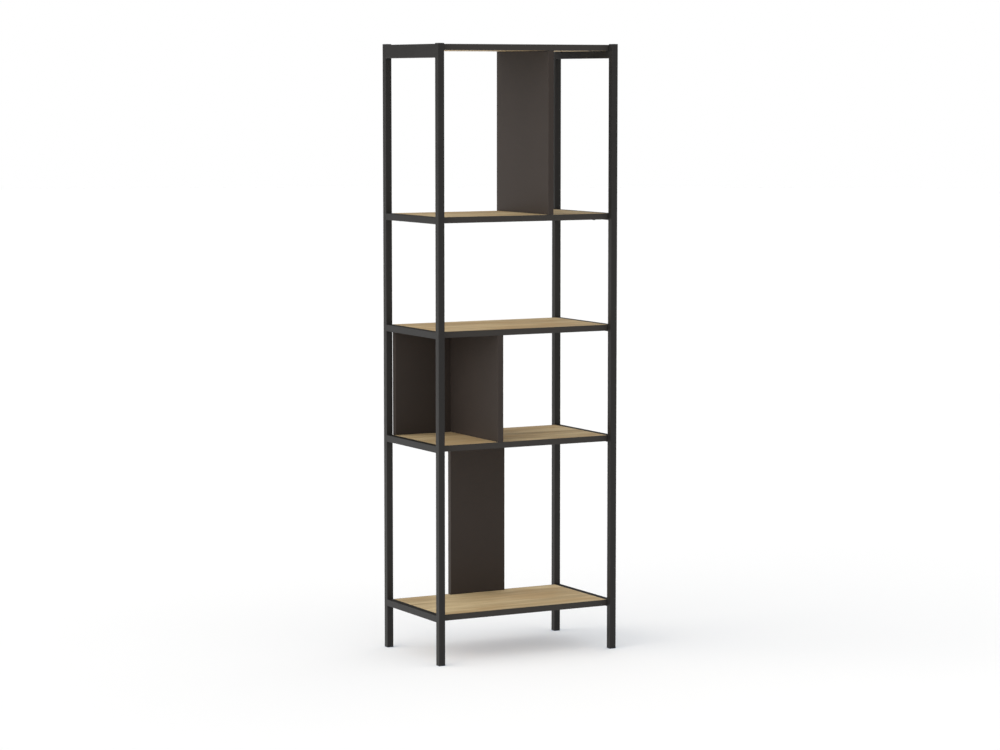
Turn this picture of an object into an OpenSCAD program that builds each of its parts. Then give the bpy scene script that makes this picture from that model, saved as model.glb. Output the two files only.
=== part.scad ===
// Open bookcase. Two welded side frames of square steel tube carry oak-faced boards,
// and dark divider and back panels stand between some of the boards.
// The front is -Y, up is +Z, and the origin is on the floor under the middle.

/* [Overall] */
// Width over the side frames
width = 600; // [420:10:1000]
// Depth over the posts
depth = 360; // [260:10:500]
// Gap from the floor to the lowest side rails
foot_clearance = 127.5; // [60:0.5:250]
// Height step that the bays are counted in
height_step = 166.5; // [120:0.5:220]
// Height of each bay from the bottom up, in steps
bay_steps = [3, 2, 2, 3]; // [1:1:5]

/* [Steel tube] */
// Side of the square tube
tube = 20; // [18:1:30]
// Wall of the tube
tube_wall = 1.5; // [1:0.1:2]
// Outer corner radius of the tube
tube_corner = 1; // [0.5:0.1:3]
// Height of the two top side rails
top_rail_h = 40; // [25:1:60]

/* [Boards] */
// Thickness of a shelf board
board_t = 18; // [15:1:25]
// Gap between a board's end and the side rail
board_gap = 0.5; // [0.2:0.1:2]
// Thickness of the edging on a board's front and rear edges
edging_t = 2; // [0.5:0.1:3]

/* [Panels] */
// Thickness of the divider and back panels
panel_t = 18; // [12:1:25]
// Distance from a panel's end to its fixings
fixing_inset = 50; // [30:1:70]

/* [Support tabs] */
// Thickness of the tab under a board
tab_t = 2; // [1.5:0.5:4]
// Reach of a tab from the side rail
tab_reach = 25; // [18:1:40]
// Length of a tab along the side rail
tab_w = 30; // [20:1:60]
// Distance of a tab's middle from the rail's end
tab_inset = 60; // [30:1:100]

/* [Feet and caps] */
// Thickness of the cap's head on top of a post
cap_head = 2.5; // [1.5:0.5:5]
// Thickness of the foot plug's flange under a post
foot_flange = 2.5; // [2:0.5:5]
// Length of a plug inside the tube
plug_len = 18; // [12:1:30]
// Diameter of the glide's threaded stud
stud_d = 8; // [6:1:10]
// Length of the stud above the glide's head
stud_len = 22; // [15:1:35]
// Diameter of the glide's head
glide_d = 14; // [10:0.5:15]
// Thickness of the glide's head
glide_head = 2.5; // [1.5:0.5:4]
// How far the glide stands below the flange when screwed home
glide_stand = 0.5; // [0.3:0.1:2]

/* [Fixings] */
// Diameter of a board screw's shank
screw_d = 4; // [3:0.5:5]
// How far a board screw enters the board
screw_bite = 12; // [8:1:14]
// Diameter of a panel screw's shoulder, which fills the board's hole
shoulder_d = 7; // [5:0.5:8]
// Diameter of a panel screw's shank
shank_d = 5; // [4:0.5:6]
// How far a panel screw enters the panel
shank_bite = 32; // [20:1:45]
// Diameter of a wooden dowel
dowel_d = 8; // [6:1:10]
// Length of a wooden dowel
dowel_len = 30; // [20:1:34]

/* [Hidden] */
$fn = 48;

// Colours
steel = [0.20, 0.195, 0.19];
oak = [0.74, 0.64, 0.49];
bronze = [0.22, 0.19, 0.17];
black = [0.07, 0.07, 0.07];
zinc = [0.72, 0.72, 0.70];
beech = [0.80, 0.66, 0.48];

// Overlap that keeps a cut clear of the face it starts from
eps = 1;
// Clearance all round a screw, dowel or plug in its hole
fit_gap = 0.05;
// Clearance all round the glide's stud in its bore
stud_gap = 0.1;
// Clearance round and above the glide's head in its recess
head_gap = 0.5;
recess_gap = 0.2;

// Levels: 0 is the lowest board, and top_level is the top board
top_level = len(bay_steps);
levels = [0 : top_level];
function steps_below(level) = level == 0 ? 0 : bay_steps[level - 1] + steps_below(level - 1);
function level_top(level) = foot_clearance + tube + height_step * steps_below(level);
function rail_h(level) = level == top_level ? top_rail_h : tube;

// Frame
clear_w = width - 2 * tube;
board_w = clear_w - 2 * board_gap;
board_d = depth - 2 * tube;
post_x = (width - tube) / 2;
post_y = (depth - tube) / 2;
post_base = glide_stand + foot_flange;
post_top = level_top(top_level);
bore = tube - 2 * tube_wall;
bore_corner = max(tube_corner - tube_wall, 0.3);

// Plugs
plug_fit = bore - 2 * fit_gap;
plug_core = bore - 2;
rib_t = 1.2;
rib_pitch = 5;
ribs = [0 : floor((plug_len - rib_t) / rib_pitch)];

// Tabs and board screws
tab_y = board_d / 2 - tab_inset;
screw_x = clear_w / 2 - tab_reach / 2 - 1;
screw_head_d = 2 * screw_d;
screw_head_h = 0.55 * screw_d;
slot_w = 0.8;
slot_h = 1;

// Panels, each [level it stands on, [x from, x to], [y from, y to]]
third = clear_w / 3;
front_y = -board_d / 2;
back_y = board_d / 2;
upper_divider = [3, [third / 2 - panel_t, third / 2], [front_y, back_y]];
nook_divider = [1, [-third / 2, panel_t - third / 2], [front_y, back_y]];
nook_back = [1, [board_gap - clear_w / 2, -third / 2], [back_y - panel_t, back_y]];
lower_back = [0, [-third / 2, third / 2], [back_y - panel_t, back_y]];
panels = [upper_divider, nook_divider, nook_back, lower_back];
function middle(span) = (span[0] + span[1]) / 2;
function length(span) = span[1] - span[0];
function inset_ends(span) = [span[0] + fixing_inset, span[1] - fixing_inset];
function fixings(panel) = length(panel[1]) < length(panel[2])
    ? [for (y = inset_ends(panel[2])) [middle(panel[1]), y]]
    : [for (x = inset_ends(panel[1])) [x, middle(panel[2])]];
function panel_top(panel) = level_top(panel[0] + 1) - board_t;

// Panel screws and dowels
csk_d = shoulder_d + 3;
csk_h = 3;
socket_d = 4.6;
socket_h = 2.5;
dowel_up = dowel_len / 3;
dowel_down = dowel_len - dowel_up;

module rounded_rect(w, h, r) {
    square([w - 2 * r, h], center = true);
    square([w, h - 2 * r], center = true);
    for (x = [-1, 1], y = [-1, 1])
        translate([x * (w / 2 - r), y * (h / 2 - r)])
            circle(r = r);
}

module tube_section(w, h) {
    difference() {
        rounded_rect(w, h, tube_corner);
        rounded_rect(w - 2 * tube_wall, h - 2 * tube_wall, bore_corner);
    }
}

// Stands what follows on the axis of one post; side is -1 left, 1 right; end is -1 front, 1 rear
module at_post(side, end) {
    translate([side * post_x, end * post_y, 0])
        children();
}

module post(side, end) {
    color(steel)
        at_post(side, end)
            translate([0, 0, post_base])
                linear_extrude(post_top - post_base)
                    tube_section(tube, tube);
}

// Lays an outline along a side rail's length
module along_rail(side, level) {
    translate([side * post_x, 0, level_top(level) - rail_h(level) / 2])
        rotate([90, 0, 0])
            linear_extrude(board_d, center = true)
                children();
}

module side_rail(side, level) {
    color(steel)
        along_rail(side, level)
            tube_section(tube, rail_h(level));
}

// Puts what follows at the four board screws of a level, at the underside of its board
module at_board_screws(level) {
    for (side = [-1, 1], end = [-1, 1])
        translate([side * screw_x, end * tab_y, level_top(level) - board_t])
            children();
}

// The tab's root fills the rail's rounded corner, as its weld does. Where a board is thicker than
// its rail, the root also rises to the rail.
module support_tabs(level) {
    tab_x = tab_reach + tube_corner;
    root_h = tab_t + max(0, board_t - rail_h(level) + tube_corner);
    color(steel)
        difference() {
            for (side = [-1, 1], end = [-1, 1])
                translate([
                    side * (clear_w / 2 + tube_corner),
                    end * tab_y,
                    level_top(level) - board_t - tab_t
                ]) {
                    translate([-side * tab_x / 2, 0, tab_t / 2])
                        cube([tab_x, tab_w, tab_t], center = true);
                    translate([-side * tube_corner / 2, 0, root_h / 2])
                        cube([tube_corner, tab_w, root_h], center = true);
                }
            for (side = [-1, 1])
                along_rail(side, level)
                    rounded_rect(tube, rail_h(level), tube_corner);
            at_board_screws(level)
                translate([0, 0, -tab_t - eps])
                    cylinder(d = screw_d + 0.5, h = tab_t + 2 * eps);
        }
}

module board_screw() {
    difference() {
        union() {
            translate([0, 0, -tab_t - screw_head_h])
                cylinder(d = screw_head_d, h = screw_head_h);
            translate([0, 0, -tab_t - screw_head_h / 2])
                cylinder(d = screw_d, h = screw_head_h / 2 + tab_t + screw_bite);
        }
        for (turn = [0, 90])
            translate([0, 0, -tab_t - screw_head_h])
                rotate([0, 0, turn])
                    cube([0.6 * screw_head_d, slot_w, 2 * slot_h], center = true);
    }
}

module board_screws() {
    color(zinc)
        for (level = levels)
            at_board_screws(level)
                board_screw();
}

// Puts what follows at a panel's fixings, at height z
module at_fixings(panel, z) {
    for (point = fixings(panel))
        translate([point[0], point[1], z])
            children();
}

// A panel screw, or with a gap the hole that it needs, from the underside of the board
module panel_screw(gap) {
    cylinder(d1 = csk_d + 2 * gap, d2 = shoulder_d + 2 * gap, h = csk_h);
    cylinder(d = shoulder_d + 2 * gap, h = board_t);
    cylinder(d = shank_d + 2 * gap, h = board_t + shank_bite + gap);
}

// A dowel, or with a gap the hole that it needs, from the underside of the board above
module panel_dowel(gap) {
    translate([0, 0, -dowel_down - gap])
        cylinder(d = dowel_d + 2 * gap, h = dowel_len + 2 * gap);
}

module board(level) {
    color(oak)
        difference() {
            translate([0, 0, level_top(level) - board_t / 2])
                cube([board_w, board_d - 2 * edging_t, board_t], center = true);
            at_board_screws(level)
                translate([0, 0, -eps])
                    cylinder(d = screw_d + 2 * fit_gap, h = eps + screw_bite + fit_gap);
            for (panel = panels)
                if (panel[0] == level)
                    at_fixings(panel, level_top(level) - board_t)
                        panel_screw(fit_gap);
            for (panel = panels)
                if (panel[0] == level - 1)
                    at_fixings(panel, panel_top(panel))
                        panel_dowel(fit_gap);
        }
}

// The front and rear strips of one board
module edging(level) {
    color(black)
        for (end = [-1, 1])
            translate([0, end * (board_d - edging_t) / 2, level_top(level) - board_t / 2])
                cube([board_w, edging_t, board_t], center = true);
}

module upright_panel(panel) {
    base = level_top(panel[0]);
    color(bronze)
        difference() {
            translate([panel[1][0], panel[2][0], base])
                cube([length(panel[1]), length(panel[2]), panel_top(panel) - base]);
            at_fixings(panel, base - board_t)
                panel_screw(fit_gap);
            at_fixings(panel, panel_top(panel))
                panel_dowel(fit_gap);
        }
}

module panel_screws() {
    color(zinc)
        for (panel = panels)
            at_fixings(panel, level_top(panel[0]) - board_t)
                difference() {
                    panel_screw(0);
                    translate([0, 0, -eps])
                        cylinder(d = socket_d, h = socket_h + eps, $fn = 6);
                }
}

module panel_dowels() {
    color(beech)
        for (panel = panels)
            at_fixings(panel, panel_top(panel))
                panel_dowel(0);
}

// The part of a plug that is pushed into the tube, upwards from z = 0
module plug_body() {
    linear_extrude(plug_len)
        rounded_rect(plug_core, plug_core, tube_corner);
    for (i = ribs)
        translate([0, 0, i * rib_pitch])
            linear_extrude(rib_t)
                rounded_rect(plug_fit, plug_fit, tube_corner);
}

module post_cap(side, end) {
    color(black)
        at_post(side, end)
            translate([0, 0, post_top]) {
                linear_extrude(cap_head)
                    rounded_rect(tube, tube, tube_corner);
                mirror([0, 0, 1])
                    plug_body();
            }
}

module foot_plug(side, end) {
    color(black)
        at_post(side, end)
            difference() {
                union() {
                    translate([0, 0, glide_stand])
                        linear_extrude(foot_flange)
                            rounded_rect(tube, tube, tube_corner);
                    translate([0, 0, post_base])
                        plug_body();
                }
                cylinder(d = stud_d + 2 * stud_gap, h = post_base + plug_len + eps);
                cylinder(d = glide_d + 2 * head_gap, h = glide_head + recess_gap);
            }
}

// The head is chamfered where it meets the floor and slotted for a screwdriver
module glide(side, end) {
    chamfer = 0.5;
    color(zinc)
        at_post(side, end)
            difference() {
                union() {
                    cylinder(d1 = glide_d - 2 * chamfer, d2 = glide_d, h = chamfer);
                    translate([0, 0, chamfer])
                        cylinder(d = glide_d, h = glide_head - chamfer);
                    translate([0, 0, glide_head])
                        cylinder(d = stud_d, h = stud_len);
                }
                cube([0.7 * glide_d, 1.5, 2 * slot_h], center = true);
            }
}

post(-1, -1);  // front_left_post
post(1, -1);  // front_right_post
post(-1, 1);  // rear_left_post
post(1, 1);  // rear_right_post

side_rail(-1, 0);  // left_rail_1
side_rail(-1, 1);  // left_rail_2
side_rail(-1, 2);  // left_rail_3
side_rail(-1, 3);  // left_rail_4
side_rail(-1, top_level);  // left_top_rail
side_rail(1, 0);  // right_rail_1
side_rail(1, 1);  // right_rail_2
side_rail(1, 2);  // right_rail_3
side_rail(1, 3);  // right_rail_4
side_rail(1, top_level);  // right_top_rail

board(0);  // shelf_1
board(1);  // shelf_2
board(2);  // shelf_3
board(3);  // shelf_4
board(top_level);  // top_board
edging(0);  // shelf_1_edging
edging(1);  // shelf_2_edging
edging(2);  // shelf_3_edging
edging(3);  // shelf_4_edging
edging(top_level);  // top_board_edging

support_tabs(0);  // support_tabs_1
support_tabs(1);  // support_tabs_2
support_tabs(2);  // support_tabs_3
support_tabs(3);  // support_tabs_4
support_tabs(top_level);  // top_support_tabs

upright_panel(upper_divider);
upright_panel(nook_divider);
upright_panel(nook_back);  // nook_back_panel
upright_panel(lower_back);  // lower_back_panel

post_cap(-1, -1);  // front_left_cap
post_cap(1, -1);  // front_right_cap
post_cap(-1, 1);  // rear_left_cap
post_cap(1, 1);  // rear_right_cap
foot_plug(-1, -1);  // front_left_foot_plug
foot_plug(1, -1);  // front_right_foot_plug
foot_plug(-1, 1);  // rear_left_foot_plug
foot_plug(1, 1);  // rear_right_foot_plug
glide(-1, -1);  // front_left_glide
glide(1, -1);  // front_right_glide
glide(-1, 1);  // rear_left_glide
glide(1, 1);  // rear_right_glide

board_screws();
panel_screws();
panel_dowels();
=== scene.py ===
"""Looks of an open bookcase: coated steel frame, oak boards, dark panels, caps, glides and a studio."""

import math

import bmesh
import bpy
from bpy.props import FloatProperty, FloatVectorProperty, PointerProperty
from mathutils import Matrix, Vector


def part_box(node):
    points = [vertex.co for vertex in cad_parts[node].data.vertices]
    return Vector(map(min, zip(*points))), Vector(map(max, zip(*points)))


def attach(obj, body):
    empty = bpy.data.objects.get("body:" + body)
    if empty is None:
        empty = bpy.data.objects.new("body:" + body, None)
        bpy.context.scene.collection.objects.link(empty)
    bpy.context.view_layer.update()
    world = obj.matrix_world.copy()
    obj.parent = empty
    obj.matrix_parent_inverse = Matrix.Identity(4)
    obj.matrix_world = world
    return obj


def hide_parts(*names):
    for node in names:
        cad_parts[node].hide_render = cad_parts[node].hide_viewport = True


bl_info = {
    "name": "Open Bookcase Looks",
    "version": (1, 0, 0),
    "blender": (4, 5, 0),
    "location": "View3D > Sidebar > Bookcase",
    "description": "Builds the coated, veneered and moulded pieces of an open bookcase on its frame",
    "category": "Object",
}

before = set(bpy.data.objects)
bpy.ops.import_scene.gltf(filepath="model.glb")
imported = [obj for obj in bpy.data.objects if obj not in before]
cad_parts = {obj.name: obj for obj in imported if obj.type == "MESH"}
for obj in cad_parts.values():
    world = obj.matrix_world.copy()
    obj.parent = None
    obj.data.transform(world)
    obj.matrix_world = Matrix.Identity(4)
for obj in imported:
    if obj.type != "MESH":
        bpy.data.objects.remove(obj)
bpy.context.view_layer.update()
BODY = "frame"
SIDES = ("left", "right")
CORNERS = [f"{end}_{side}" for end in ("front", "rear") for side in SIDES]
POSTS = [f"{corner}_post" for corner in CORNERS]
RAILS = [f"{side}_rail_{level}" for side in SIDES for level in (1, 2, 3, 4)]
TOP_RAILS = [f"{side}_top_rail" for side in SIDES]
BOARDS = ["shelf_1", "shelf_2", "shelf_3", "shelf_4", "top_board"]
TABS = ["support_tabs_1", "support_tabs_2", "support_tabs_3", "support_tabs_4", "top_support_tabs"]
PANELS = ["upper_divider", "nook_divider", "nook_back_panel", "lower_back_panel"]
MM = 0.001
QUARTER_TURN = math.radians(90)
SHARP_ANGLE = math.radians(40)
NODE_SPACING = 180
COLOUR = {"size": 3, "subtype": "COLOR", "min": 0.0, "max": 1.0}


# Shader expressions


class Value:
    """One output of a node. Sums, products and the like of values add Math nodes."""

    def __init__(self, graph, socket):
        self.graph = graph
        self.socket = socket

    def math(self, operation, first, second):
        return self.graph.node("ShaderNodeMath", {"operation": operation}, {0: first, 1: second})

    def __add__(self, other):
        return self.math("ADD", self, other)

    def __sub__(self, other):
        return self.math("SUBTRACT", self, other)

    def __mul__(self, other):
        return self.math("MULTIPLY", self, other)

    __radd__ = __add__
    __rmul__ = __mul__


class Graph:
    """The nodes of one material or of the world."""

    def __init__(self, tree):
        self.tree = tree
        self.tree.nodes.clear()

    def node(self, kind, settings=None, inputs=None, output=0):
        """Adds a node, sets it up, then fills its sockets with numbers, colours or values."""
        made = self.tree.nodes.new(kind)
        made.location = (len(self.tree.nodes) * NODE_SPACING, 0)
        for name, setting in (settings or {}).items():
            setattr(made, name, setting)
        for name, value in (inputs or {}).items():
            if isinstance(value, Value):
                self.tree.links.new(value.socket, made.inputs[name])
            else:
                made.inputs[name].default_value = value
        return Value(self, made.outputs[output]) if made.outputs else None

    def noise(self, place, scale, detail=2.0, roughness=0.5, distortion=0.0):
        """Soft noise with the same scale, in patches per metre, along every axis."""
        inputs = {"Vector": place, "Scale": scale, "Detail": detail}
        inputs |= {"Roughness": roughness, "Distortion": distortion}
        return self.node("ShaderNodeTexNoise", {"noise_dimensions": "3D"}, inputs)

    def grain(self, place, x, y, z, **kind):
        """Noise with a scale for each axis: it is drawn out along the axis with the smallest."""
        inputs = {0: place, 1: (x, y, z)}
        stretched = self.node("ShaderNodeVectorMath", {"operation": "MULTIPLY"}, inputs)
        return self.noise(stretched, scale=1.0, **kind)

    def between(self, value, low, high):
        """0 below low, 1 above high, and a smooth rise between them."""
        inputs = {"Value": value, "From Min": low, "From Max": high}
        return self.node("ShaderNodeMapRange", {"interpolation_type": "SMOOTHSTEP"}, inputs)

    def facing(self, direction, aim):
        """How squarely a direction points along an aim: 1 straight along it, 0 across it."""
        inputs = {0: direction, 1: aim}
        return self.node("ShaderNodeVectorMath", {"operation": "DOT_PRODUCT"}, inputs, output="Value")

    def blend(self, factor, first, second):
        """The first colour where the factor is 0, the second where it is 1, and a mix between."""
        inputs = {0: factor, 6: opaque(first), 7: opaque(second)}
        return self.node("ShaderNodeMix", {"data_type": "RGBA"}, inputs, output=2)

    def stain(self, tone, colour, pattern, low, high, share):
        """A tone with a colour laid over it, as far as the share, where the pattern is high."""
        return self.blend(share * self.between(pattern, low, high), tone, colour)

    def bump(self, height, strength, distance):
        """A surface that rises and falls with the height."""
        inputs = {"Height": height, "Strength": strength, "Distance": distance}
        return self.node("ShaderNodeBump", None, inputs)


def opaque(colour):
    """A colour as four numbers, or a value as it is."""
    return colour if isinstance(colour, Value) else (*colour, 1.0)


def shade(colour, share):
    """A colour made darker, or lighter where the share is over 1."""
    return [share * channel for channel in colour]


def new_material(name, build, **fixed):
    """A material with one Principled shader: build gives what varies, and fixed what doesn't."""
    material = bpy.data.materials.new(name)
    material.use_nodes = True
    graph = Graph(material.node_tree)
    place = graph.node("ShaderNodeTexCoord", output="Object")
    inputs = {}
    for key, value in fixed.items():
        inputs[key.replace("_", " ").title().replace("Ior", "IOR")] = value
    inputs |= build(graph, place)
    shader = graph.node("ShaderNodeBsdfPrincipled", None, inputs)
    graph.node("ShaderNodeOutputMaterial", None, {"Surface": shader})
    return material


def coated_steel(looks):
    """Satin powder coat: a faint orange peel and barely uneven gloss."""

    def build(graph, place):
        cloud = graph.noise(place, scale=18.0, detail=3.0)
        peel = graph.noise(place, scale=900.0, detail=1.0)
        return {
            "Base Color": graph.blend(cloud, shade(looks.coat_colour, 0.86), looks.coat_colour),
            "Roughness": looks.coat_roughness - 0.05 + 0.1 * cloud,
            "Normal": graph.bump(peel, strength=0.25, distance=0.03 * MM),
        }

    return new_material("coated_steel", build, specular_ior_level=looks.dark_gloss)


def dark_lacquer(looks):
    """Dark bronze lacquer on fibreboard: fine peel and slow clouds of tone."""

    def build(graph, place):
        cloud = graph.noise(place, scale=9.0, detail=4.0, roughness=0.6)
        peel = graph.noise(place, scale=600.0)
        return {
            "Base Color": graph.blend(cloud, shade(looks.lacquer_colour, 0.85), looks.lacquer_colour),
            "Roughness": looks.lacquer_roughness - 0.04 + 0.08 * cloud,
            "Normal": graph.bump(peel, strength=0.2, distance=0.03 * MM),
        }

    return new_material("dark_lacquer", build, specular_ior_level=looks.dark_gloss)


def edge_band(looks):
    """Matt edge band with fine lengthwise drawing marks."""

    def build(graph, place):
        drawn = graph.grain(place, x=6.0, y=300.0, z=900.0, detail=3.0)
        return {
            "Base Color": graph.blend(drawn, shade(looks.band_colour, 0.8), looks.band_colour),
            "Roughness": 0.45 + 0.12 * drawn,
            "Normal": graph.bump(drawn, strength=0.15, distance=0.03 * MM),
        }

    return new_material("edge_band", build, specular_ior_level=looks.dark_gloss)


def oak(looks):
    """Light oak that runs along X: broad staves of tone, growth lines, fine fibre and dark pores."""

    def build(graph, place):
        staves = graph.grain(place, x=2.2, y=17.0, z=40.0, distortion=0.6)
        drift = graph.grain(place, x=4.5, y=11.0, z=60.0, detail=3.0)
        bands = graph.grain(place, x=3.0, y=55.0, z=90.0, detail=3.0, distortion=0.5)
        streaks = graph.grain(place, x=7.0, y=210.0, z=120.0, detail=4.0, roughness=0.6)
        fibre = graph.grain(place, x=40.0, y=1500.0, z=900.0)
        open_grain = graph.grain(place, x=110.0, y=1900.0, z=1200.0, detail=1.0)
        pores = graph.between(open_grain, low=0.62, high=0.74)
        pores = pores * graph.between(streaks, low=0.35, high=0.6)
        tone = graph.stain(looks.oak_dark, looks.oak_light, staves, low=0.36, high=0.62, share=1.0)
        tone = graph.stain(tone, looks.oak_warm, drift, low=0.42, high=0.66, share=0.75)
        tone = graph.stain(tone, looks.oak_line, bands, low=0.42, high=0.7, share=0.45)
        tone = graph.stain(tone, looks.oak_line, streaks, low=0.42, high=0.72, share=0.35)
        tone = graph.blend(0.1 * fibre, tone, looks.oak_line)
        tone = graph.blend(0.55 * pores, tone, looks.oak_pore)
        relief = 0.5 * fibre + 0.5 * streaks - 1.2 * pores
        return {
            "Base Color": tone,
            "Roughness": 0.55 + 0.12 * streaks + 0.1 * pores,
            "Normal": graph.bump(relief, strength=0.25, distance=0.06 * MM),
        }

    return new_material("oak", build)


def moulded_black(looks):
    """Black moulded plastic with a fine spark-eroded texture."""

    def build(graph, place):
        grit = graph.noise(place, scale=2600.0)
        return {
            "Base Color": graph.blend(grit, shade(looks.cap_colour, 0.7), looks.cap_colour),
            "Roughness": 0.5 + 0.15 * grit,
            "Normal": graph.bump(grit, strength=0.35, distance=0.03 * MM),
        }

    return new_material("moulded_black", build)


def zinc_plate(looks):
    """Bright zinc plate with drawn marks and cloudy passivation."""

    def build(graph, place):
        cloud = graph.noise(place, scale=260.0, detail=4.0)
        marks = graph.grain(place, x=300.0, y=300.0, z=9000.0)
        bright = looks.zinc_colour
        yellowed = (bright[0], 0.97 * bright[1], 0.86 * bright[2])
        return {
            "Base Color": graph.stain(bright, yellowed, cloud, low=0.4, high=0.75, share=1.0),
            "Roughness": 0.24 + 0.16 * cloud,
            "Normal": graph.bump(marks, strength=0.12, distance=0.02 * MM),
        }

    return new_material("zinc_plate", build, metallic=1.0)


def black_zinc(looks):
    """Zinc plate passivated black, with patches worn a little lighter."""

    def build(graph, place):
        cloud = graph.noise(place, scale=900.0, detail=3.0)
        dark = looks.black_zinc_colour
        worn = shade(dark, 3.0)
        return {
            "Base Color": graph.stain(dark, worn, cloud, low=0.5, high=0.8, share=1.0),
            "Roughness": 0.38 + 0.2 * cloud,
            "Normal": graph.bump(cloud, strength=0.1, distance=0.02 * MM),
        }

    return new_material("black_zinc", build, metallic=0.6)


def beech(looks):
    """Raw beech that runs up the dowel, with short dark flecks."""

    def build(graph, place):
        lines = graph.grain(place, x=700.0, y=700.0, z=40.0, detail=3.0)
        flecks = graph.grain(place, x=1600.0, y=1600.0, z=300.0)
        tone = graph.blend(lines, looks.beech_colour, shade(looks.beech_colour, 0.8))
        dark = shade(looks.beech_colour, 0.45)
        return {
            "Base Color": graph.stain(tone, dark, flecks, low=0.62, high=0.7, share=0.5),
            "Roughness": 0.62 + 0.1 * lines,
            "Normal": graph.bump(lines, strength=0.3, distance=0.05 * MM),
        }

    return new_material("beech", build)


# Mesh making


def rounded_outline(half_x, half_y, radius, steps=6):
    """Points round a rectangle with round corners, anticlockwise."""
    points = []
    corners = ((1, 1), (-1, 1), (-1, -1), (1, -1))
    for quarter, (side_x, side_y) in enumerate(corners):
        for step in range(steps + 1):
            angle = QUARTER_TURN * (quarter + step / steps)
            x = side_x * (half_x - radius) + radius * math.cos(angle)
            y = side_y * (half_y - radius) + radius * math.sin(angle)
            points.append((x, y))
    return points


def circle_outline(radius, steps=48):
    """Points round a circle, anticlockwise."""
    turns = [math.tau * step / steps for step in range(steps)]
    return [(radius * math.cos(turn), radius * math.sin(turn)) for turn in turns]


def loft(mesh, rings, place=Matrix(), loop=False):
    """Skins rings of (outline, height) into a closed solid: capped at both ends, or joined in a loop."""
    loops = []
    for outline, height in rings:
        loops.append([mesh.verts.new(place @ Vector((x, y, height))) for x, y in outline])
    pairs = list(zip(loops, loops[1:]))
    if loop:
        pairs.append((loops[-1], loops[0]))
    else:
        mesh.faces.new(reversed(loops[0]))
        mesh.faces.new(loops[-1])
    for below, above in pairs:
        for i in range(len(below)):
            j = (i + 1) % len(below)
            mesh.faces.new((below[i], below[j], above[j], above[i]))


def eased_block(mesh, low, high, ease, segments=2):
    """A block from corner to corner with its edges rounded over."""
    size = Vector(high) - Vector(low)
    middle = (Vector(high) + Vector(low)) / 2
    place = Matrix.Translation(middle) @ Matrix.Diagonal(size).to_4x4()
    made = bmesh.ops.create_cube(mesh, size=1.0, matrix=place)
    edges = list(dict.fromkeys(edge for corner in made["verts"] for edge in corner.link_edges))
    round_over = {"offset": ease, "offset_type": "OFFSET", "segments": segments, "profile": 0.5}
    bmesh.ops.bevel(mesh, geom=edges, affect="EDGES", **round_over)


def to_object(name, mesh):
    """The finished mesh as an object, smooth but for its sharp edges, with flat faces kept flat."""
    bmesh.ops.recalc_face_normals(mesh, faces=mesh.faces)
    data = bpy.data.meshes.new(name)
    mesh.to_mesh(data)
    mesh.free()
    data.shade_smooth()
    data.set_sharp_from_angle(angle=SHARP_ANGLE)
    made = bpy.data.objects.new(name, data)
    bpy.context.scene.collection.objects.link(made)
    return made


def fit_piece(made, material, slot, *nodes, body=BODY):
    """Gives a piece its finish and its body, and hides the CAD nodes that it stands for."""
    made.data.materials.clear()
    made.data.materials.append(material)
    weighted = made.modifiers.new("flat_faces", "WEIGHTED_NORMAL")
    weighted.keep_sharp = True
    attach(made, body)
    if nodes:
        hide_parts(*nodes)
    return made


def carry_over(nodes, material):
    """Gives CAD nodes whose shape is right their finish."""
    for node in nodes:
        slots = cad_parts[node].data.materials
        slots.clear()
        slots.append(material)


def cut(made, cutter):
    """Cuts one object out of another and drops the cutter."""
    modifier = made.modifiers.new("cut", "BOOLEAN")
    modifier.object = cutter
    modifier.solver = "EXACT"
    seen = bpy.context.evaluated_depsgraph_get()
    data = bpy.data.meshes.new_from_object(made.evaluated_get(seen))
    made.modifiers.clear()
    made.data = data
    made.data.set_sharp_from_angle(angle=SHARP_ANGLE)
    bpy.data.objects.remove(cutter)


# Settings that a user would change


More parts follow.
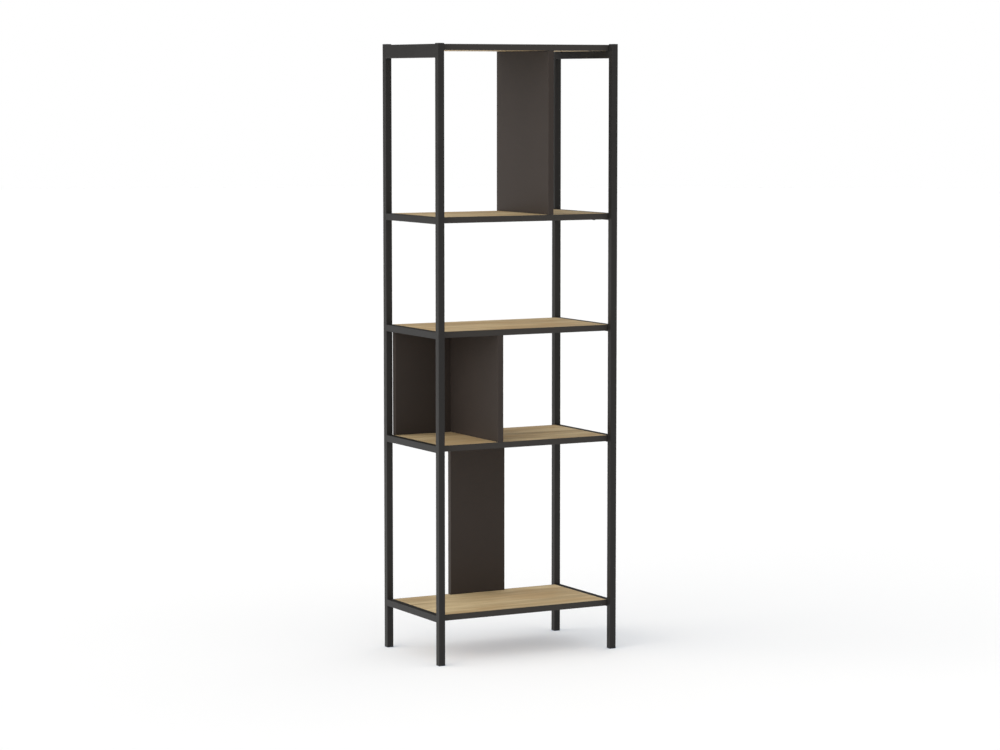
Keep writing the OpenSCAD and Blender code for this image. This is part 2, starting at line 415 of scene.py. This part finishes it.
class FinishSettings(bpy.types.PropertyGroup):
    """Colours and gloss of the bookcase's finishes."""

    coat_colour: FloatVectorProperty(
        name="Powder coat", description="Colour of the steel frame",
        default=(0.0252, 0.0238, 0.0226), **COLOUR
    )
    coat_roughness: FloatProperty(
        name="Powder coat roughness", description="How matt the powder coat is",
        default=0.32, min=0.1, max=1.0,
    )
    dark_gloss: FloatProperty(
        name="Dark gloss", description="How strongly the coat, lacquer and edge bands reflect",
        default=0.12, min=0.0, max=1.0,
    )
    lacquer_colour: FloatVectorProperty(
        name="Panel lacquer", description="Colour of the dark panels",
        default=(0.0415, 0.0328, 0.0278), **COLOUR
    )
    lacquer_roughness: FloatProperty(
        name="Panel roughness", description="How matt the panel lacquer is",
        default=0.42, min=0.1, max=1.0,
    )
    band_colour: FloatVectorProperty(
        name="Edge band", description="Colour of the boards' front and rear edges",
        default=(0.043, 0.0388, 0.0350), **COLOUR
    )
    oak_light: FloatVectorProperty(
        name="Oak, light wood", description="Colour of the pale bands",
        default=(0.67, 0.53, 0.305), **COLOUR
    )
    oak_dark: FloatVectorProperty(
        name="Oak, dark wood", description="Colour of the deeper bands",
        default=(0.46, 0.34, 0.18), **COLOUR
    )
    oak_warm: FloatVectorProperty(
        name="Oak, warm wood", description="Colour of the warm brown areas",
        default=(0.49, 0.33, 0.155), **COLOUR
    )
    oak_line: FloatVectorProperty(
        name="Oak, growth lines", description="Colour of the thin lines along the grain",
        default=(0.31, 0.21, 0.10), **COLOUR
    )
    oak_pore: FloatVectorProperty(
        name="Oak, pores", description="Colour of the open pores",
        default=(0.20, 0.125, 0.055), **COLOUR
    )
    cap_colour: FloatVectorProperty(
        name="Caps and plugs", description="Colour of the moulded black pieces",
        default=(0.012, 0.012, 0.012), **COLOUR
    )
    zinc_colour: FloatVectorProperty(
        name="Zinc", description="Colour of the plated glides",
        default=(0.66, 0.66, 0.64), **COLOUR
    )
    black_zinc_colour: FloatVectorProperty(
        name="Black zinc", description="Colour of the board and panel screws",
        default=(0.035, 0.035, 0.037), **COLOUR
    )
    beech_colour: FloatVectorProperty(
        name="Beech", description="Colour of the dowels",
        default=(0.60, 0.43, 0.25), **COLOUR
    )


class SizeSettings(bpy.types.PropertyGroup):
    """Small sizes that the looks add to the frame's own."""

    tube_corner: FloatProperty(
        name="Tube corner", description="Outer corner radius of the square tube",
        default=0.001, min=0.0005, max=0.004, unit="LENGTH",
    )
    tube_wall: FloatProperty(
        name="Tube wall", description="Wall of the square tube",
        default=0.0015, min=0.001, max=0.003, unit="LENGTH",
    )
    board_ease: FloatProperty(
        name="Board arris", description="Rounding of the oak boards' edges",
        default=0.0004, min=0.0001, max=0.002, unit="LENGTH",
    )
    band_ease: FloatProperty(
        name="Edge band rounding", description="Rounding of the edge band's outer corners",
        default=0.0009, min=0.0002, max=0.0019, unit="LENGTH",
    )
    panel_ease: FloatProperty(
        name="Panel rounding", description="Rounding of the panels' edges",
        default=0.0012, min=0.0002, max=0.004, unit="LENGTH",
    )
    fixing_inset: FloatProperty(
        name="Fixing inset", description="Distance from a panel's end to its screw or dowel",
        default=0.05, min=0.02, max=0.1, unit="LENGTH",
    )
    thread_pitch: FloatProperty(
        name="Thread pitch", description="Rise of the glide's thread in one turn",
        default=0.00125, min=0.0005, max=0.003, unit="LENGTH",
    )
    thread_depth: FloatProperty(
        name="Thread depth", description="Depth of the glide's thread",
        default=0.0006, min=0.0002, max=0.001, unit="LENGTH",
    )


class StudioSettings(bpy.types.PropertyGroup):
    """Camera, floor and light of the studio."""

    turn: FloatProperty(
        name="Camera turn", description="How far the camera stands round to the left of the front",
        default=math.radians(28.514), subtype="ANGLE",
    )
    tilt: FloatProperty(
        name="Camera tilt", description="How far the camera looks down",
        default=math.radians(5.527), subtype="ANGLE",
    )
    distance: FloatProperty(
        name="Camera distance", description="From the camera to the point that it looks at",
        default=9.112, min=1.0, unit="LENGTH",
    )
    aim_height: FloatProperty(
        name="Aim height", description="Height of the point that the camera looks at",
        default=0.828, unit="LENGTH",
    )
    lens: FloatProperty(
        name="Lens", description="Focal length in millimetres",
        default=109.37, min=10.0, subtype="DISTANCE_CAMERA",
    )
    floor_radius: FloatProperty(
        name="Floor radius", description="Radius of the round floor",
        default=40.0, min=2.0, unit="LENGTH",
    )
    floor_colour: FloatVectorProperty(
        name="Floor", description="Colour of the floor",
        default=(0.83, 0.77, 0.69), **COLOUR
    )
    floor_glow: FloatVectorProperty(
        name="Floor glow", description="Light that the floor gives off by itself",
        default=(0.11, 0.175, 0.26), **COLOUR
    )
    overhead: FloatProperty(
        name="Overhead light", description="Strength from above",
        default=0.62, min=0.0,
    )
    left: FloatProperty(
        name="Left light", description="Strength from the left",
        default=2.9, min=0.0,
    )
    right: FloatProperty(
        name="Right light", description="Strength from the right",
        default=0.7, min=0.0,
    )
    front: FloatProperty(
        name="Front light", description="Strength from the front",
        default=0.68, min=0.0,
    )
    back: FloatProperty(
        name="Back light", description="Strength from behind",
        default=0.3, min=0.0,
    )


# Operators, one for each group of pieces


def finishes():
    """The colours and gloss that are set now."""
    return bpy.context.scene.bookcase_finish


def sizes():
    """The small sizes that are set now."""
    return bpy.context.scene.bookcase_size


def studio():
    """The studio that is set now."""
    return bpy.context.scene.bookcase_studio


class BOOKCASE_OT_stage(bpy.types.Operator):
    """Lays the pale floor, sets the soft light and stands the camera"""

    bl_idname = "bookcase.stage"
    bl_label = "Studio"

    def execute(self, context):
        looks = studio()
        self.lay_floor(looks)
        self.set_light(looks)
        self.stand_camera(looks)
        return {"FINISHED"}

    def lay_floor(self, looks):
        """A round matt floor with the faintest speckle, which glows a little by itself."""
        mesh = bmesh.new()
        bmesh.ops.create_circle(mesh, cap_ends=True, segments=128, radius=looks.floor_radius)
        floor = to_object("studio_floor", mesh)

        def build(graph, place):
            speckle = graph.noise(place, scale=0.7)
            paler = shade(looks.floor_colour, 1.01)
            return {"Base Color": graph.blend(speckle, looks.floor_colour, paler)}

        glow = {"emission_color": opaque(looks.floor_glow), "emission_strength": 1.0}
        matt = {"roughness": 0.9, "specular_ior_level": 0.0}
        floor.data.materials.append(new_material("studio_floor", build, **matt, **glow))

    def set_light(self, looks):
        """A broad soft light overhead and one on each side. The camera sees plain white instead.

        Each is at its full strength near its middle and fades out towards its rim, both of them
        given as the cosine of the angle from its aim.
        """
        world = bpy.data.worlds.new("studio_light")
        world.use_nodes = True
        graph = Graph(world.node_tree)
        direction = graph.node("ShaderNodeTexCoord", output="Generated")
        sides = {
            "overhead": (0.0, 0.0, 1.0),
            "left": (-1.0, 0.0, 0.05),
            "right": (1.0, 0.0, 0.2),
            "front": (0.0, -1.0, 0.35),
            "back": (0.0, 1.0, 2.5),
        }
        rim = 0.45
        middle = 0.9
        lights = []
        for name, towards in sides.items():
            facing = graph.facing(direction, Vector(towards).normalized())
            lights.append(getattr(looks, name) * graph.between(facing, rim, middle))
        seen = graph.node("ShaderNodeLightPath", output="Is Camera Ray")
        white = (1.0, 1.0, 1.0, 1.0)
        lit = graph.node("ShaderNodeBackground", None, {"Color": white, "Strength": sum(lights)})
        plain = graph.node("ShaderNodeBackground", None, {"Color": white, "Strength": 1.0})
        both = graph.node("ShaderNodeMixShader", None, {0: seen, 1: lit, 2: plain})
        graph.node("ShaderNodeOutputWorld", None, {"Surface": both})
        bpy.context.scene.world = world
        bpy.context.scene.view_settings.view_transform = "Standard"

    def stand_camera(self, looks):
        """The camera, to the front left of the bookcase and looking a little down."""
        data = bpy.data.cameras.new("studio_camera")
        data.lens = looks.lens
        data.sensor_width = 36.0
        data.clip_end = 200.0
        camera = bpy.data.objects.new("studio_camera", data)
        bpy.context.scene.collection.objects.link(camera)
        level = looks.distance * math.cos(looks.tilt)
        rise = looks.distance * math.sin(looks.tilt)
        aim = Vector((0.0, 0.0, looks.aim_height))
        back = Vector((-level * math.sin(looks.turn), -level * math.cos(looks.turn), rise))
        camera.location = aim + back
        camera.rotation_euler = (QUARTER_TURN - looks.tilt, 0.0, -looks.turn)
        bpy.context.scene.camera = camera


class BOOKCASE_OT_tubes(bpy.types.Operator):
    """Makes the posts and side rails as coated square tube, welded flush to each other"""

    bl_idname = "bookcase.tubes"
    bl_label = "Posts and side rails"

    def execute(self, context):
        coat = coated_steel(finishes())
        for node in POSTS:
            self.tube(node, coat, along=2, reach=0.0)
        for node in RAILS + TOP_RAILS:
            self.tube(node, coat, along=1, reach=sizes().tube_corner)
        return {"FINISHED"}

    def tube(self, node, coat, along, reach):
        """A hollow tube in the node's box, whose ends reach on over the round corners that they meet."""
        low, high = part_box(node)
        size = high - low
        lay = Matrix() if along == 2 else Matrix.Rotation(QUARTER_TURN, 4, "X")
        half_x = size.x / 2
        half_y = size.y / 2 if along == 2 else size.z / 2
        end = size[along] / 2 + reach
        wall = sizes().tube_wall
        corner = sizes().tube_corner
        least_corner = 0.3 * MM
        bore_corner = max(corner - wall, least_corner)
        skin = rounded_outline(half_x, half_y, corner)
        bore = rounded_outline(half_x - wall, half_y - wall, bore_corner)
        mesh = bmesh.new()
        rings = [(skin, -end), (skin, end), (bore, end), (bore, -end)]
        loft(mesh, rings, Matrix.Translation((low + high) / 2) @ lay, loop=True)
        fit_piece(to_object(f"{node}_tube", mesh), coat, "powder_coated_steel", node)


class BOOKCASE_OT_boards(bpy.types.Operator):
    """Makes the oak boards, with countersinks for the panel screws in their undersides"""

    bl_idname = "bookcase.boards"
    bl_label = "Oak boards"

    def execute(self, context):
        wood = oak(finishes())
        for node in BOARDS:
            low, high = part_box(node)
            mesh = bmesh.new()
            eased_block(mesh, low, high, sizes().board_ease)
            board = to_object(f"{node}_oak", mesh)
            for panel in PANELS:
                if abs(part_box(panel)[0].z - high.z) < MM:
                    for point in fixing_points(panel):
                        cut(board, self.countersink(point, low.z, high.z))
            fit_piece(board, wood, "oak_faced_board", node)
        return {"FINISHED"}

    def countersink(self, point, bottom, top):
        """The hole for one panel screw: a cone for its head, then a bore right through."""
        mouth = 5.1 * MM
        bore = 3.6 * MM
        proud = 1.0 * MM
        sunk = 3.0 * MM
        mesh = bmesh.new()
        rings = [
            (circle_outline(mouth), bottom - proud),
            (circle_outline(mouth), bottom),
            (circle_outline(bore), bottom + sunk),
            (circle_outline(bore), top + proud),
        ]
        loft(mesh, rings, Matrix.Translation((*point, 0.0)))
        return to_object("countersink", mesh)


def fixing_points(panel):
    """Where a panel's two screws stand, in plan."""
    low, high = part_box(panel)
    inset = sizes().fixing_inset
    middle = (low + high) / 2
    if high.x - low.x < high.y - low.y:
        return [(middle.x, low.y + inset), (middle.x, high.y - inset)]
    return [(low.x + inset, middle.y), (high.x - inset, middle.y)]


class BOOKCASE_OT_edge_bands(bpy.types.Operator):
    """Makes the dark bands on the boards' front and rear edges"""

    bl_idname = "bookcase.edge_bands"
    bl_label = "Edge bands"

    def execute(self, context):
        band = edge_band(finishes())
        for board in BOARDS:
            node = f"{board}_edging"
            low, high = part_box(node)
            core_low, core_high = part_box(board)
            mesh = bmesh.new()
            eased_block(mesh, low, (high.x, core_low.y, high.z), sizes().band_ease, segments=4)
            eased_block(mesh, (low.x, core_high.y, low.z), high, sizes().band_ease, segments=4)
            fit_piece(to_object(f"{board}_bands", mesh), band, "dark_edging", node)
        return {"FINISHED"}


class BOOKCASE_OT_panels(bpy.types.Operator):
    """Makes the lacquered dividers and back panels"""

    bl_idname = "bookcase.panels"
    bl_label = "Divider and back panels"

    def execute(self, context):
        lacquer = dark_lacquer(finishes())
        for node in PANELS:
            low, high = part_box(node)
            mesh = bmesh.new()
            eased_block(mesh, low, high, sizes().panel_ease, segments=4)
            fit_piece(to_object(f"{node}_board", mesh), lacquer, "bronze_lacquer_panel", node)
        return {"FINISHED"}


class BOOKCASE_OT_caps(bpy.types.Operator):
    """Makes the post caps with their ribbed plugs, and finishes the foot plugs"""

    bl_idname = "bookcase.caps"
    bl_label = "Caps and foot plugs"

    def execute(self, context):
        plastic = moulded_black(finishes())
        for corner in CORNERS:
            self.cap(f"{corner}_cap", f"{corner}_post", plastic)
        carry_over([f"{corner}_foot_plug" for corner in CORNERS], plastic)
        return {"FINISHED"}

    def cap(self, node, post, plastic):
        """One cap: plug core, sealing ribs, then a head with eased edges and a low crown."""
        low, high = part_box(node)
        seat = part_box(post)[1].z
        half = (high.x - low.x) / 2
        corner = sizes().tube_corner
        core_gap = 1.0 * MM
        rib_gap = 0.05 * MM
        core = half - sizes().tube_wall - core_gap
        rib = half - sizes().tube_wall - rib_gap
        rib_pitch = 5.0 * MM
        rib_t = 1.2 * MM
        lip = 0.2 * rib_t
        round_over = 0.8 * MM
        crown = 0.25 * MM
        crown_shares = (0.6, 0.3)
        steps = 6
        levels = [(core, low.z)]
        for i in reversed(range(int((seat - low.z - rib_t) / rib_pitch) + 1)):
            top = seat - i * rib_pitch
            levels += [(core, top - rib_t), (rib, top - rib_t + lip), (rib, top - lip), (core, top)]
        levels.append((half, seat))
        for step in range(steps + 1):
            angle = QUARTER_TURN * step / steps
            height = high.z - crown - round_over * (1 - math.sin(angle))
            levels.append((half - round_over * (1 - math.cos(angle)), height))
        for share in crown_shares:
            levels.append((half * share, high.z - crown * share * share))
        rings = []
        for size, height in levels:
            rings.append((rounded_outline(size, size, corner * size / half), height))
        mesh = bmesh.new()
        centre = (low + high) / 2
        loft(mesh, rings, Matrix.Translation((centre.x, centre.y, 0.0)))
        fit_piece(to_object(f"{node}_moulding", mesh), plastic, "black_plastic", node)


class BOOKCASE_OT_glides(bpy.types.Operator):
    """Makes the screw-in levelling glides with slotted heads and rolled threads"""

    bl_idname = "bookcase.glides"
    bl_label = "Levelling glides"

    def execute(self, context):
        zinc = zinc_plate(finishes())
        for corner in CORNERS:
            self.glide(f"{corner}_glide", zinc)
        return {"FINISHED"}

    def glide(self, node, zinc):
        """One glide: a chamfered head, a plain neck and a threaded stud."""
        low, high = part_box(node)
        centre = (low + high) / 2
        head = (high.x - low.x) / 2
        head_top = low.z + 2.5 * MM
        chamfer = 0.5 * MM
        upper_in = 0.3 * MM
        upper_down = 0.4 * MM
        neck = 0.5 * MM
        stud = 4.0 * MM
        mesh = bmesh.new()
        rings = [
            (circle_outline(head - chamfer), low.z),
            (circle_outline(head), low.z + chamfer),
            (circle_outline(head), head_top - upper_down),
            (circle_outline(head - upper_in), head_top),
            (circle_outline(stud), head_top),
        ]
        rings += self.thread(head_top + neck, high.z, stud)
        loft(mesh, rings, Matrix.Translation((centre.x, centre.y, 0.0)))
        made = to_object(f"{node}_screw", mesh)
        cut(made, self.slot(centre, low.z, head))
        fit_piece(made, zinc, "zinc_plated_steel", node, body=node)

    def thread(self, bottom, top, radius):
        """Rings whose radius follows a ridge that climbs one pitch a turn, and fades out at the tip.

        The ridge has a flat crest, straight flanks and a flat root.
        """
        pitch = sizes().thread_pitch
        depth = sizes().thread_depth
        steepness = 1.4
        crest = 0.2
        rows_per_turn = 6
        rows = round((top - bottom) / pitch * rows_per_turn)
        rings = []
        for row in range(rows + 1):
            height = bottom + (top - bottom) * row / rows
            tip = max(0.0, 1.0 - (top - height) / pitch)
            outline = []
            for x, y in circle_outline(1.0):
                phase = (height / pitch - math.atan2(y, x) / math.tau) % 1.0
                slope = 1.0 - abs(2.0 * phase - 1.0)
                groove = min(1.0, max(0.0, steepness * slope - crest))
                size = radius - depth * groove * (1.0 - tip) - depth * tip
                outline.append((size * x, size * y))
            rings.append((outline, height))
        return rings

    def slot(self, centre, bottom, head):
        """The screwdriver slot across the head's underside."""
        half_length = 0.7 * head
        half_width = 0.75 * MM
        depth = 1.0 * MM
        reach = Vector((half_length, half_width, depth))
        underside = Vector((centre.x, centre.y, bottom))
        mesh = bmesh.new()
        eased_block(mesh, underside - reach, underside + reach, ease=0.2 * MM)
        return to_object("slot", mesh)


class BOOKCASE_OT_fixings(bpy.types.Operator):
    """Finishes the support tabs, screws and dowels, and lays the tabs' weld beads"""

    bl_idname = "bookcase.fixings"
    bl_label = "Tabs, screws and dowels"

    def execute(self, context):
        carry_over(TABS, bpy.data.materials["coated_steel"])
        carry_over(["board_screws", "panel_screws"], black_zinc(finishes()))
        carry_over(["panel_dowels"], beech(finishes()))
        for node, board in zip(TABS, BOARDS):
            self.weld_beads(node, board)
        return {"FINISHED"}

    def weld_beads(self, node, board):
        """One rippled bead along the root of each tab of a level."""
        low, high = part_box(node)
        tab_length = 30.0 * MM
        root_gap = 0.8 * MM
        lift = 0.3 * MM
        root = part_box(board)[1].x + root_gap
        height = low.z + lift
        lay = Matrix.Rotation(-QUARTER_TURN, 4, "X")
        mesh = bmesh.new()
        for side in (-1, 1):
            for start in (low.y, high.y - tab_length):
                place = Matrix.Translation((side * root, start, height)) @ lay
                loft(mesh, self.bead(tab_length), place)
        name = node.replace("support_tabs", "tab_welds")
        fit_piece(to_object(name, mesh), bpy.data.materials["coated_steel"], "powder_coated_steel")

    def bead(self, length):
        """The rings of one weld bead, with a row of ripples and ends that taper off."""
        radius = 1.1 * MM
        ripple_length = 2.4 * MM
        ripple = 0.14
        taper = 6.0
        end_share = 0.25
        steps = 60
        rings = []
        for step in range(steps + 1):
            along = step / steps
            ends = min(1.0, taper * math.sin(math.pi * along) + end_share)
            wave = 1.0 - ripple + ripple * abs(math.sin(math.pi * along * length / ripple_length))
            rings.append((circle_outline(radius * ends * wave, steps=16), along * length))
        return rings


class BOOKCASE_PT_looks(bpy.types.Panel):
    """Lists the bookcase's groups of pieces"""

    bl_label = "Bookcase"
    bl_idname = "BOOKCASE_PT_looks"
    bl_space_type = "VIEW_3D"
    bl_region_type = "UI"
    bl_category = "Bookcase"

    def draw(self, context):
        for operator in STEPS:
            self.layout.operator(operator.bl_idname)
        for settings in (finishes(), sizes(), studio()):
            box = self.layout.box()
            for name in settings.__annotations__:
                box.prop(settings, name)


STEPS = (
    BOOKCASE_OT_stage,
    BOOKCASE_OT_tubes,
    BOOKCASE_OT_boards,
    BOOKCASE_OT_edge_bands,
    BOOKCASE_OT_panels,
    BOOKCASE_OT_caps,
    BOOKCASE_OT_glides,
    BOOKCASE_OT_fixings,
)
CLASSES = (FinishSettings, SizeSettings, StudioSettings, *STEPS, BOOKCASE_PT_looks)


def register():
    for made in CLASSES:
        bpy.utils.register_class(made)
    bpy.types.Scene.bookcase_finish = PointerProperty(type=FinishSettings)
    bpy.types.Scene.bookcase_size = PointerProperty(type=SizeSettings)
    bpy.types.Scene.bookcase_studio = PointerProperty(type=StudioSettings)


def unregister():
    del bpy.types.Scene.bookcase_studio
    del bpy.types.Scene.bookcase_size
    del bpy.types.Scene.bookcase_finish
    for made in reversed(CLASSES):
        bpy.utils.unregister_class(made)


def main():
    register()
    for step in STEPS:
        group, name = step.bl_idname.split(".")
        getattr(getattr(bpy.ops, group), name)()


if __name__ == "__main__":
    main()
